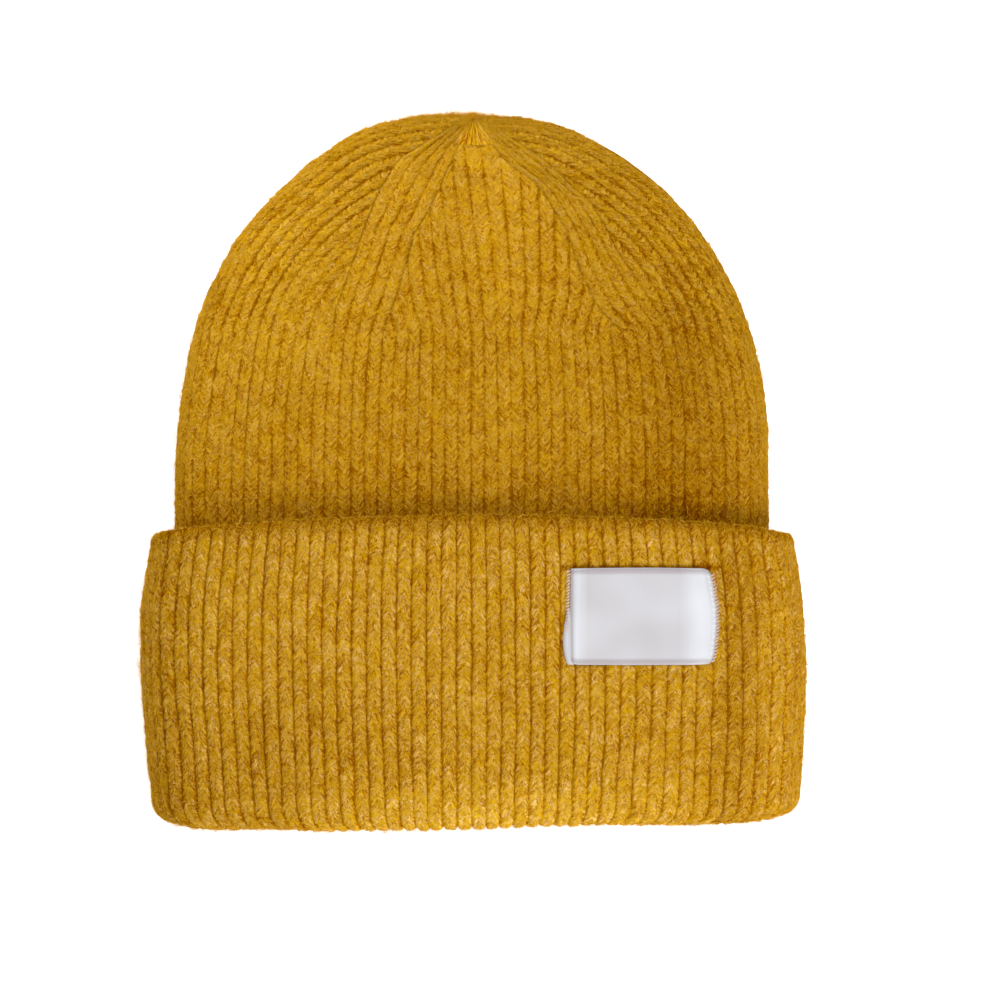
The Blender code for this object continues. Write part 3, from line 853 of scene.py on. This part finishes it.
def spindles(name, path, heading, up, radius, rng, material, body):
    """One mesh of three-sided fibres, tapered at both ends, along paths of four points."""
    count = len(path)
    side = unit(np.cross(heading, up))
    above = np.cross(side, heading)
    turns = (0.0, 2 * math.pi / 3, 4 * math.pi / 3)
    ring = np.stack([side * math.cos(turn) + above * math.sin(turn) for turn in turns], 1)
    ring = ring * radius[:, None, None]
    vertices = np.concatenate([path[:, :1], path[:, 1:2] + ring, path[:, 2:3] + ring, path[:, 3:4]], axis=1)
    base = np.arange(count, dtype=np.int32)[:, None, None] * 8
    tips = np.array([[0, 2, 1], [0, 3, 2], [0, 1, 3], [7, 4, 5], [7, 5, 6], [7, 6, 4]])
    walls = np.array([[1, 2, 5, 4], [2, 3, 6, 5], [3, 1, 4, 6]])
    faces = [(base + tips).reshape(-1, 3), (base + walls).reshape(-1, 4)]
    made = add_mesh(name, vertices.reshape(-1, 3), faces, material)
    tone = np.zeros((count, 8, 3))
    tone[:, :, 0] = rng.beta(2.0, 2.0, count)[:, None]
    set_vector(made, "tone", tone)
    return settle(made, body, "mustard_yarn")


STRAY_SHARE = 0.03
FIBRE_STEPS = np.array([0.0, 0.35, 0.70, 1.0])


def across_the(up, vectors):
    """The part of each vector that lies along the surface."""
    return vectors - up * np.sum(vectors * up, axis=1, keepdims=True)


def spread_out(vectors, amounts, steps):
    """Each fibre's vector and amount, times each of the four steps along it."""
    return vectors[:, None] * (np.reshape(amounts, (-1, 1, 1)) * steps[None, :, None])


def halo(name, grown, count, material, body, seed):
    """Very fine short fibres standing out of the sides of a knitted surface."""
    points, normal, _ = grown
    rng = np.random.default_rng(seed)
    at_side = normal[..., 2] < 0.60
    chosen = rng.integers(0, at_side.sum(), count)
    root = points[at_side][chosen]
    up = normal[at_side][chosen]
    lean = rng.normal(0.0, 0.45, (count, 3))
    heading = unit(up + across_the(up, lean))
    length = np.minimum(rng.gamma(3.0, 0.00034, count), 0.0022)
    root = root + up * rng.uniform(-0.0004, 0.0001, count)[:, None]
    curl = rng.normal(0.0, 0.30, (count, 3)) * length[:, None]
    path = root[:, None] + spread_out(heading, length, FIBRE_STEPS) + spread_out(curl, 1.0, FIBRE_STEPS**2)
    return spindles(name, path, heading, up, rng.uniform(0.000018, 0.000036, count), rng, material, body)


def fibres(name, grown, part, hand, count, material, body, seed):
    """Thin tapered fibres lying over a knitted surface, a few of them standing out of it."""
    points, normal, leg = grown
    rng = np.random.default_rng(seed)
    rows, columns = points.shape[:2]
    i = rng.integers(2, rows - 2, count * 3)
    j = rng.integers(int(part[0] * columns) + 2, int(part[1] * columns) - 2, count * 3)
    out = leg[i, j, 1]
    clear = label_gap(points[i, j]) > 0.0012
    keep = np.flatnonzero((rng.random(count * 3) < (1.08 - out**3)) & clear)[:count]
    i, j = i[keep], j[keep]
    count = len(i)
    root = points[i, j]
    up = normal[i, j]
    along = unit(points[i + 1, j] - points[i - 1, j])
    along = across_the(up, along)
    across = np.cross(along, up)
    rib = leg[i, j, 2]
    half = np.sign(rib - np.floor(rib) - 0.5)
    angle = -hand * half * 0.70 + rng.normal(0.0, 0.60, count)
    heading = along * np.cos(angle)[:, None] + across * np.sin(angle)[:, None]
    bend = np.cross(heading, up) * rng.normal(0.0, 0.65, count)[:, None]
    length = rng.uniform(0.0010, 0.0028, count)
    stray = rng.random(count) < STRAY_SHARE
    length = np.where(stray, rng.uniform(0.003, 0.008, count), length)
    lift = np.where(stray, rng.uniform(0.0006, 0.0022, count), rng.uniform(0.00008, 0.00050, count))
    radius = rng.uniform(0.000035, 0.000070, count)
    arch = np.array([0.0, 0.75, 1.0, 0.9])
    steps = FIBRE_STEPS - 0.5
    path = root[:, None] + spread_out(heading, length, steps)
    path = path + spread_out(up, lift, arch) + spread_out(bend, length, steps**2)
    return spindles(name, path, heading, up, radius, rng, material, body)


# ---- label and thread


def slab(name, points, under, weave, material, flip=False):
    """A thin closed sheet between two grids of points, the upper one carrying the weave's coordinates."""
    rows, columns = points.shape[:2]
    grid = rows * columns
    index = np.arange(grid).reshape(rows, columns)
    border = np.concatenate([index[0, :], index[1:, -1], index[-1, -2::-1], index[-2:0:-1, 0]])
    after = np.roll(border, -1)
    rim = [border, border + grid, after + grid, after]
    if flip:
        rim.reverse()
    faces = [grid_faces(rows, columns, flip), grid_faces(rows, columns, not flip, grid), np.stack(rim, -1)]
    made = add_mesh(name, np.concatenate([points.reshape(-1, 3), under.reshape(-1, 3)]), faces, material)
    set_vector(made, "weave", np.stack([weave, weave]))
    return made


def unit_grid(columns, rows):
    return np.meshgrid(np.linspace(0, 1, columns), np.linspace(0, 1, rows))


def cuff_top_z(x, y):
    """Height of the cuff's outer face, without its ribs."""
    half_width = cuff_half_width(y - MOUTH_Y)
    top = BODY_TOP_Z + OUTER_FACE + FACE_BULGE
    return BODY_MIDDLE_Z + (top - BODY_MIDDLE_Z) * fill(np.abs(x) / half_width, TOP_FULLNESS)


def label_edges(t):
    """The label's left and right ends at this share of its width, from its lower edge to its upper one."""
    left = np.interp(t, [0, .06, .30, .55, 1], [.0312, .0308, .0307, .0309, .0312])
    places = [0, .03, .12, .40, .60, .88, .97, 1]
    right = np.interp(t, places, [.0745, .0756, .0764, .0773, .0771, .0757, .0750, .0742])
    return left, right


def make_label(material):
    """One satin ribbon, its ends turned under."""
    s, t = unit_grid(220, 100)
    left, right = label_edges(t)
    x = left + (right - left) * s
    bow = 0.0003 * np.sin(np.pi * s) - 0.0004 * ease((s - 0.965) / 0.035)
    y_high = LABEL_HIGH - 0.0002 + bow
    y_low = LABEL_LOW + 0.0006 - 0.4 * bow + 0.0003 * ease((0.06 - s) / 0.06)
    y = y_low + (y_high - y_low) * t
    # Distances in from the turned ends, in millimetres.
    from_left = (x - left) * 1000
    from_right = (right - x) * 1000
    z = cuff_top_z(x, y) - 0.0008 + 0.0002 * np.sin(np.pi * t)
    z += 0.0009 * ease((from_left + 0.6) / 3.0) + 0.0010 * ease((from_right + 0.6) / 3.2)
    z += 0.00022 * hump((from_left - 4.6) / 1.9) + 0.00025 * hump((from_right - 5.0) / 2.2)
    z -= 0.00020 * hump((from_right - 1.5) / 0.42) + 0.00006 * hump((from_left - 0.7) / 0.40)
    z += 0.00010 * np.sin(110 * t) * hump((from_right - 0.9) / 0.7)
    z += 0.00016 * drift(61, 0.011, x, y * 0.6) - 0.00035 * (1 - ease(np.minimum(t, 1 - t) / 0.035))
    points = np.stack([x, y, z], -1)
    under = points - normals_of(points) * LABEL_THICKNESS
    from_edge = np.minimum(t, 1 - t) * LABEL_SIZE[1]
    weave = np.stack([x - LABEL_CENTRE[0], y - LABEL_CENTRE[1], from_edge], -1) * 1000
    made = slab("satin_label", points, under, weave, material)
    return settle(made, "cuff", "white_satin", "front_label")


def fold_tuck(material):
    """The turned-under ribbon that shows past the label's lower left corner."""
    s, t = unit_grid(14, 26)
    width = 0.0013 + 0.0022 * np.sin(np.pi * (0.10 + 0.80 * t**0.8))
    x = 0.0322 - width * s
    y = -0.0608 + 0.0175 * t
    around = np.sin(np.pi * 0.92 * s**1.5) ** 0.8
    z = cuff_top_z(x, y) - 0.0001 + 0.0011 * around * np.sin(np.pi * (0.22 + 0.66 * t))
    points = np.stack([x, y, z], -1)
    weave = np.stack([x * 1000, y * 1000, np.full_like(x, 8.0)], -1)
    made = slab("label_tuck", points, points - (0.0, 0.0, 0.0004), weave, material, flip=True)
    return settle(made, "cuff", "white_satin")


def make_care_label(material):
    """The small blank ribbon inside the hat, caught in the back seam."""
    s, t = unit_grid(60, 36)
    x = CARE_CORNER[0] + CARE_SIZE[0] * s
    y = CARE_CORNER[1] + CARE_SIZE[1] * t
    points = np.stack([x, y, CARE_Z + 0.0006 * s**2 + 0.0001 * np.sin(3 * np.pi * t) * s], -1)
    weave = np.stack([x, y, np.minimum(t, 1 - t) * CARE_SIZE[1]], -1) * 1000
    made = slab("care_ribbon", points, points - (0.0, 0.0, CARE_THICKNESS), weave, material)
    return settle(made, "care_flap", "care_ribbon", "care_label")


def tube(path, radius, sides, twist=0.0):
    """Points, faces and twist coordinates of a round thread along a path, two-lobed where it twists."""
    count = len(path)
    radius = np.broadcast_to(radius, count)
    tangent = unit(np.gradient(path, axis=0))
    side = unit(np.cross(tangent, (0.0, 0.0, 1.0)))
    up = np.cross(side, tangent)
    turns = np.linspace(0, 2 * np.pi, sides, endpoint=False)
    length = np.concatenate([[0], np.cumsum(np.linalg.norm(np.diff(path, axis=0), axis=1))])
    angle = turns + twist * length[:, None]
    swell = 1 + 0.22 * np.cos(2 * turns) * (twist > 0)
    ring = side[:, None] * np.cos(angle)[..., None] + up[:, None] * np.sin(angle)[..., None]
    vertices = path[:, None] + ring * (radius[:, None] * swell)[..., None]
    index = np.arange(count * sides).reshape(count, sides)
    after = np.roll(index, -1, axis=1)
    walls = np.stack([index[:-1], after[:-1], after[1:], index[1:]], -1).reshape(-1, 4)
    points = np.concatenate([vertices.reshape(-1, 3), path[:1], path[-1:]])
    end = np.full(sides, count * sides)
    caps = np.hstack([[after[0], index[0], end], [index[-1], after[-1], end + 1]]).T
    leg = np.stack([np.repeat(length, sides) * 1000, np.tile(turns, count), np.zeros(count * sides)], -1)
    return points, walls, caps, np.concatenate([leg, np.zeros((2, 3))])


def join_tubes(name, tubes, material):
    vertices, walls, caps, legs = zip(*tubes)
    starts = np.cumsum([0] + [len(points) for points in vertices[:-1]])
    faces = [np.concatenate([face + start for face, start in zip(kind, starts)]) for kind in (walls, caps)]
    made = add_mesh(name, np.concatenate(vertices), faces, material)
    set_vector(made, "leg", np.concatenate(legs))
    return made


def stitch_line(name, side, first, last, count, reach, material, node):
    """Small slanting stitches over one folded end of the label, between two shares of its height."""
    rng = np.random.default_rng(71 + side)
    share = np.linspace(0, 1, 9)
    radius = STITCH_RADIUS * np.sin(np.linspace(0.25, math.pi - 0.25, 9)) ** 0.4
    tubes = []
    for k in range(count):
        t = first + (last - first) * (k + 0.5) / count
        end = float(label_edges(t)[0 if side < 0 else 1])
        inner = end - side * (reach + 0.0002 * rng.random())
        outer = end + side * (STITCH_LENGTH - reach + 0.0003 * rng.random())
        slope = 0.0006 + 0.0004 * rng.random()
        x = inner + (outer - inner) * share
        y = LABEL_LOW + LABEL_SIZE[1] * t + slope * (share - 0.5) * side
        z = cuff_top_z(x, y) + 0.00080 - 0.00045 * share + 0.00028 * np.sin(math.pi * share)
        tubes.append(tube(np.stack([x, y, z], -1), radius, 8))
    return settle(join_tubes(name, tubes, material), "cuff", "white_thread", node)


def make_seam(name, ys, zs, node, body, material):
    """Linking yarn down a seam: a chain of slanting loops over a core."""
    tubes = [tube(np.stack([np.zeros_like(ys), ys, zs + 0.0005], -1), 0.0005, 8, twist=1800.0)]
    share = np.linspace(0, 1, 8)
    turn = math.pi * share
    for y in np.arange(ys[0] + SEAM_STEP, ys[-1] - SEAM_STEP, SEAM_STEP):
        z = float(np.interp(y, ys, zs)) + 0.0004
        loop = [0.0011 * np.cos(turn), y + 0.0022 * (share - 0.5), z + 0.0005 * np.sin(turn)]
        tubes.append(tube(np.stack(loop, -1), 0.0003, 6))
    return settle(join_tubes(name, tubes, material), body, "linking_yarn", node)


def make_gather(material):
    """The yarn end drawn through the last stitches: a small twisted plug with its knot inside."""
    share = np.linspace(0, 1, 40)
    radius = 0.0009 * np.sin(np.pi * np.clip(share * 1.05, 0, 1)) ** 0.5 + 0.0001
    y = APEX_Y - 0.0155 + 0.0149 * share
    tubes = []
    for start in (0.0, 2.1, 4.2):
        turn = start + share * 7.0
        path = np.stack([radius * np.cos(turn), y, APEX_MIDDLE_Z + radius * np.sin(turn)], -1)
        tubes.append(tube(path, 0.00075, 8, twist=900.0))
    return settle(join_tubes("gather_yarn", tubes, material), "hat", "mustard_yarn", "crown_gather_yarn")


# ---- build

SIDES = ((False, "front"), (True, "back"))
PARTS = ("left", "middle", "right")


def build():
    yarn = yarn_material("mustard_yarn_cuff", 1.0)
    crown_yarn = yarn_material("mustard_yarn_crown", 0.45, 0.97)
    fibre = fibre_material()
    satin = satin_material()
    thread = thread_material("white_sewing_thread", (0.55, 0.40, 0.31), (0.80, 0.66, 0.58))
    linking = thread_material("linking_yarn_twist", YARN_DARK, YARN_MIDDLE)
    columns, step, count = ((12, 0.0004, 11000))

    # The cuff.
    outer_end = WALL_END + 0.0060
    names = ["cuff_front_" + part for part in PARTS]
    made, cuff_grown = cuff_pieces(names, np.arange(0.0, outer_end, step), columns, False, yarn, 11)
    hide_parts("turned_cuff")
    cuff_pieces(["cuff_back"], np.linspace(0.0, outer_end, 100), 4, True, yarn, 12)
    inner_lengths = np.linspace(WALL_END + 0.0055, PATH_END, 60)
    cuff_pieces(["cuff_inside_front"], inner_lengths, 4, False, yarn, 13)
    cuff_pieces(["cuff_inside_back"], inner_lengths, 4, True, yarn, 14)

    # The crown, from just under the cuff's top edge, and the body below it.
    foot = CUFF_TOP_Y - 0.006
    names = ["crown_front_" + part for part in PARTS]
    made, crown_grown = crown_pieces(names, crown_rows(step, foot), columns, False, crown_yarn, 21)
    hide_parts("knit_body")
    crown_pieces(["crown_back"], crown_rows(0.0010, foot), 4, True, crown_yarn, 22)
    upper_rows = np.concatenate([np.arange(foot, 0.100, 0.0016), np.linspace(0.1005, 0.1083, 8)])
    lower_rows = np.arange(MOUTH_Y + 0.005, foot + 0.0005, 0.0016)
    for back, side in SIDES:
        settle(lining_piece("crown_lining_" + side, upper_rows, back, yarn), "hat", "mustard_yarn")
    for back, side in SIDES:
        body = body_piece("body_" + side, back, crown_yarn)
        for made in (body, lining_piece(f"body_{side}_lining", lower_rows, back, yarn)):
            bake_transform(made)

    # Loose fibres over the front, in three parts.
    for k in range(3):
        part = (k / 3, (k + 1) / 3)
        fibres(f"cuff_fuzz_{k + 1}", cuff_grown, part, 1, count, fibre, "cuff", 101 + k)
        fibres(f"crown_fuzz_{k + 1}", crown_grown, part, -1, count, fibre, "hat", 111 + k)
    halo("cuff_halo", cuff_grown, count + count // 4, fibre, "cuff", 121)
    halo("crown_halo", crown_grown, count + count // 4, fibre, "hat", 122)

    # Label, thread and seams.
    label = make_label(satin)
    tuck = fold_tuck(satin)
    left = stitch_line("label_stitches_left", -1, 0.34, 0.98, 20, -0.0002, thread, "label_stitch_left")
    right = stitch_line("label_stitches_right", 1, 0.04, 0.94, 27, 0.0003, thread, "label_stitch_right")
    care = make_care_label(satin)
    seam_y = np.linspace(-0.106, 0.088, 140)
    seam_z = np.maximum(body_heights(seam_y)[2], 0.0) + LAYER + 0.0004
    make_seam("back_seam", seam_y, seam_z, "back_seam_yarn", "hat", linking)
    cuff_y = np.linspace(MOUTH_Y + 0.010, CUFF_TOP_Y - 0.010, 60)
    make_seam("cuff_seam", cuff_y, np.full_like(cuff_y, 0.0052), "cuff_seam_yarn", "cuff", linking)
    make_gather(linking)


# ---- studio

# Each lamp's name, place, width across and power; all face the middle of the floor.
LAMPS = (
    ("above", (0.15, 0.26, 1.67), 0.6, 13.7),
    ("low_right", (0.29, -0.50, 0.40), 0.26, 2.6),
    ("crown_side", (-0.21, 0.37, 0.17), 0.16, 0.78),
)
AMBIENT = 0.275
FLOOR_REACH = 3.0
FLOOR_Z = -0.0004
VIEW_CENTRE = (0.00745, -0.0076)
VIEW_WIDTH = 0.3138
VIEW_HEIGHT = 0.020
LENS = 200.0
SENSOR = 36.0


def studio():
    scene = bpy.context.scene
    scene.view_settings.view_transform = "Standard"
    corners = np.array([[-1, -1, 0], [1, -1, 0], [1, 1, 0], [-1, 1, 0]]) * FLOOR_REACH + (0, 0, FLOOR_Z)
    add_mesh("floor", corners, [np.array([[0, 1, 2, 3]])], floor_material(), smooth=False)
    camera_data = bpy.data.cameras.new("camera")
    camera_data.lens = LENS
    camera_data.sensor_width = SENSOR
    camera_data.clip_start = 0.01
    camera_data.clip_end = 50.0
    camera = bpy.data.objects.new("camera", camera_data)
    camera.location = (*VIEW_CENTRE, VIEW_HEIGHT + VIEW_WIDTH * LENS / SENSOR)
    scene.collection.objects.link(camera)
    scene.camera = camera
    world = bpy.data.worlds.new("studio")
    world.use_nodes = True
    background = world.node_tree.nodes["Background"]
    background.inputs["Color"].default_value = (1.0, 1.0, 1.0, 1.0)
    background.inputs["Strength"].default_value = AMBIENT
    scene.world = world
    for name, place, size, power in LAMPS:
        lamp = bpy.data.lights.new(name, "AREA")
        lamp.shape = "DISK"
        lamp.size = size
        lamp.energy = power
        holder = bpy.data.objects.new(name, lamp)
        holder.location = place
        away = np.array(place) / np.linalg.norm(place)
        holder.rotation_euler = (math.acos(away[2]), 0.0, math.atan2(away[1], away[0]) + math.pi / 2)
        scene.collection.objects.link(holder)


build()
studio()
